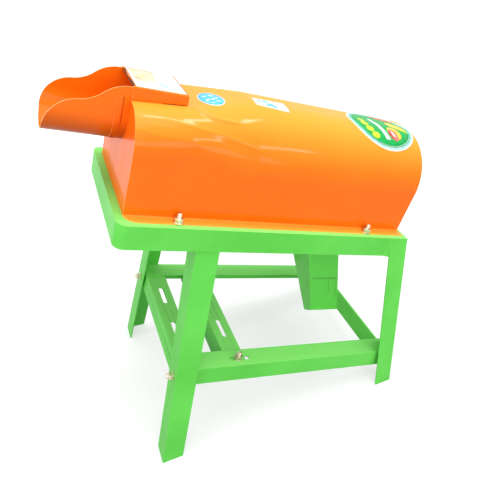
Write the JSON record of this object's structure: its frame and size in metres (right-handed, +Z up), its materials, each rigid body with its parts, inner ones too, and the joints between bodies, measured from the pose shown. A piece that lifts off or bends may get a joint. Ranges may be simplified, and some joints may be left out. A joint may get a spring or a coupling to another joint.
{
  "type": "corn sheller",
  "caption": "Tilted corn sheller on a splayed angle-iron stand: feed trough, folded hood over a helical rotor and bar concave, grain spout below and slotted rails for a motor.",
  "frame": {"origin": "on the floor, under the middle of the machine's overall length and of its width", "axes": "+Z up; +X from the feed trough towards the cob outlet, along which the bed falls by 16 degrees; +Y towards the back"},
  "size_m": [0.627, 0.3806, 0.6755],
  "materials": {
    "frame_green": "gloss",
    "hood_orange": "gloss",
    "zinc_plate": "yellow-passivated zinc",
    "bare_steel": "mill finish",
    "cast_iron": "satin",
    "bright_steel": "ground"
  },
  "bodies": {
    "stand": {"back_left_leg": "frame_green", "back_right_leg": "frame_green", "bearing_beam": "frame_green", "bearing_housings": "cast_iron", "bed_end_rail": "frame_green", "bed_frame": "frame_green", "cob_floor": "bare_steel", "concave_bars": "bare_steel", "concave_rings": "bare_steel", "concave_side_strips": "bare_steel", "feed_end_plate": "hood_orange", "feed_trough": "hood_orange", "front_left_leg": "frame_green", "front_right_leg": "frame_green", "grain_pan": "bare_steel", "grain_spout": "frame_green", "hood": "hood_orange", "hood_bolts": "zinc_plate", "inlet_shell": "bare_steel", "left_motor_rail": "frame_green", "leg_bolts": "zinc_plate", "lower_back_rail": "frame_green", "lower_end_bar": "frame_green", "lower_front_rail": "frame_green", "outlet_end_plate": "hood_orange", "throat_box": "hood_orange"},
    "drum": {"bearing_inner_rings": "bright_steel", "pulley_key": "bright_steel", "rotor_bars": "bare_steel", "rotor_pegs": "bare_steel", "rotor_pulley": "cast_iron", "rotor_shaft": "bright_steel", "rotor_tube": "bare_steel"},
    "motor_rail": {"slide_bolts": "zinc_plate", "sliding_motor_rail": "frame_green"}
  },
  "joints": [
    {"name": "drum_spin", "type": "hinge", "parent": "stand", "child": "drum", "pos_m": [-0.12184, 0, 0.50662], "axis": [0.9613, 0, -0.2756], "continuous": true},
    {"name": "motor_rail_slide", "type": "slide", "parent": "stand", "child": "motor_rail", "axis": [0.9613, 0, -0.2756], "range_m": [-0.0142, 0.0178]}
  ]
}
